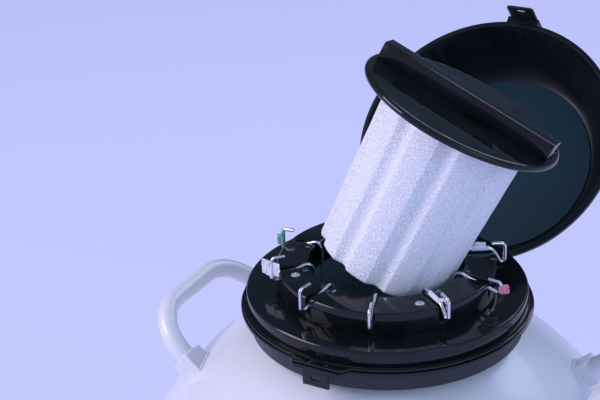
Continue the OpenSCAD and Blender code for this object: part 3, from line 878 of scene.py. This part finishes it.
SHOULDER_CENTRE_MM, SHOULDER_R_MM = 370.0, 306.0
TUBE_R_MM, LEG_HALF_MM, LUG_HALF_MM, LUG_TOP_MM = 11.3, 88.2, 13.5, -2.0
TUBE_BEAD_MM, LUG_BEAD_MM, LUG_EDGE_STEPS = 1.7, 2.2, 12
HANDLE_X_MM, HANDLE_FOOT_MM, HANDLE_LEAN = 212.3, 599.4, math.radians(50)


def build_welds(side):
    """Weld beads round each leg's tube, where it meets its lug, and round each lug's foot."""
    foot = Vector((side * HANDLE_X_MM, 0, HANDLE_FOOT_MM))
    along = Vector((side * math.sin(HANDLE_LEAN), 0, math.cos(HANDLE_LEAN)))
    across = Vector((side * math.cos(HANDLE_LEAN), 0, -math.sin(HANDLE_LEAN)))

    def on_shoulder(u, v):
        """Where a line along the leg, offset by u and v, meets the shoulder."""
        start = foot + across * u + Vector((0, v, 0)) - Vector((0, 0, SHOULDER_CENTRE_MM))
        half = start.dot(along)
        down = -half + math.sqrt(half * half - start.length_squared + SHOULDER_R_MM**2)
        return foot + across * u + Vector((0, v, 0)) + along * down

    def ripple(i):
        return 0.14 * math.sin(2.4 * i) + 0.08 * math.sin(0.9 * i)

    def build(bm):
        for s in (-1, 1):
            middle = s * LEG_HALF_MM
            seat = foot + Vector((0, middle, 0)) + along * LUG_TOP_MM
            bead(bm, seat * MM, (TUBE_R_MM + 0.1) * MM, TUBE_BEAD_MM * MM, along, 5 + s + side)
            outline, h = [], LUG_HALF_MM + 0.3
            for cu, cv, du, dv in ((-h, -h, 1, 0), (h, -h, 0, 1), (h, h, -1, 0), (-h, h, 0, -1)):
                for k in range(LUG_EDGE_STEPS):
                    u = cu + du * 2 * h * k / LUG_EDGE_STEPS
                    v = middle + cv + dv * 2 * h * k / LUG_EDGE_STEPS
                    outline.append(on_shoulder(u, v) * MM)
            outline.append(outline[0].copy())
            sweep(bm, outline, LUG_BEAD_MM * MM, 9, False, ripple)

    return build


# ---------------------------------------------------------------- build


def make_surround():
    """Plain studio light: light on the camera's side, dimming evenly towards the back."""
    world = bpy.data.worlds.new("studio")
    scene.world = world
    world.use_nodes = True
    sky = world.node_tree
    backing = sky.nodes["Background"]
    direction = add(sky, "ShaderNodeTexCoord").outputs["Generated"]
    rise = add(sky, "ShaderNodeSeparateXYZ", {"Vector": direction}).outputs["Z"]
    depth = add(
        sky, "ShaderNodeVectorMath", {0: direction, 1: TO_BACK}, operation="DOT_PRODUCT"
    ).outputs["Value"]
    height_share = between(sky, rise, 0.0, SURROUND_HIGH_FROM, 0, 1)
    tone = mixed(sky, height_share, SURROUND_LOW, SURROUND_HIGH)
    tone = mixed(sky, between(sky, depth, DIM_START, DIM_END, 0, 1), tone, SURROUND_DIM)
    sky.links.new(tone, backing.inputs["Color"])
    backing.inputs["Strength"].default_value = SURROUND_STRENGTH


make_camera()
make_surround()
for light in AREA_LIGHTS:
    area_light(*light)

for name, obj in NODES.items():
    obj.data.materials.clear()
    obj.data.materials.append(MATERIALS[SLOT_OF[name]])
    obj.data.shade_smooth()
    obj.data.set_sharp_from_angle(angle=math.radians(CAD_SHADE_DEGREES))

foam = mesh_from("plug_foam_moulded", build_foam)
link("plug_foam_moulded", foam, "plug", "white_foam", ["plug_foam"])
for number in range(1, SLOTS + 1):
    node = f"canister_rod_{number:02d}"
    shape = mesh_from(node, build_rod(number - 1))
    link(f"hook_{number:02d}", shape, f"canister_{number:02d}", "hook_steel", [node])

# Tape nodes, and what builds each in detail
TAPES = {
    "tag_pink": build_pink, "tag_green": build_green, "tag_white": build_white,
    "tape_twist": build_twist, "tape_wrap": build_wrap,
}
for node, build in TAPES.items():
    link(f"{node}_wound", mesh_from(node, build, 60), BODY_OF[node], SLOT_OF[node], [node])

# CAD nodes shown with their sharp edges rounded by this much
ROUNDED_MM = {
    "index_ring": 0.45, "flange_ring": 0.5, "shroud_plate": 0.4, "hasp_plate": 0.35,
    "lid_hasp_tab": 0.4, "lid_hinge_leaf": 0.4, "lid_shell": 0.6, "lid_liner": 0.4,
    "plug_disc": 0.7, "plug_handle": 1.2, "base_boot": 1.2, "hinge_bracket": 0.5,
    "evacuation_cap": 0.3,
}
for node, width in ROUNDED_MM.items():
    link(f"{node}_rounded", softened(node, width), BODY_OF[node], SLOT_OF[node], [node])

for node, side in (("handle_left", -1), ("handle_right", 1)):
    link(f"{node}_welds", mesh_from(node, build_welds(side), 60), "dewar", "white_paint")

ink = number_ink()
for index in range(SLOTS):
    link(f"slot_number_{index + 1:02d}", slot_number(index), "dewar", "white_tape", material=ink)

floor_mesh = bpy.data.meshes.new("floor")
square = ((-1, -1), (1, -1), (1, 1), (-1, 1))
corners = [(x * FLOOR_HALF_SIZE, y * FLOOR_HALF_SIZE, 0) for x, y in square]
floor_mesh.from_pydata(corners, [], [(0, 1, 2, 3)])
floor_mesh.materials.append(stage_material())
floor = bpy.data.objects.new("floor", floor_mesh)
scene.collection.objects.link(floor)
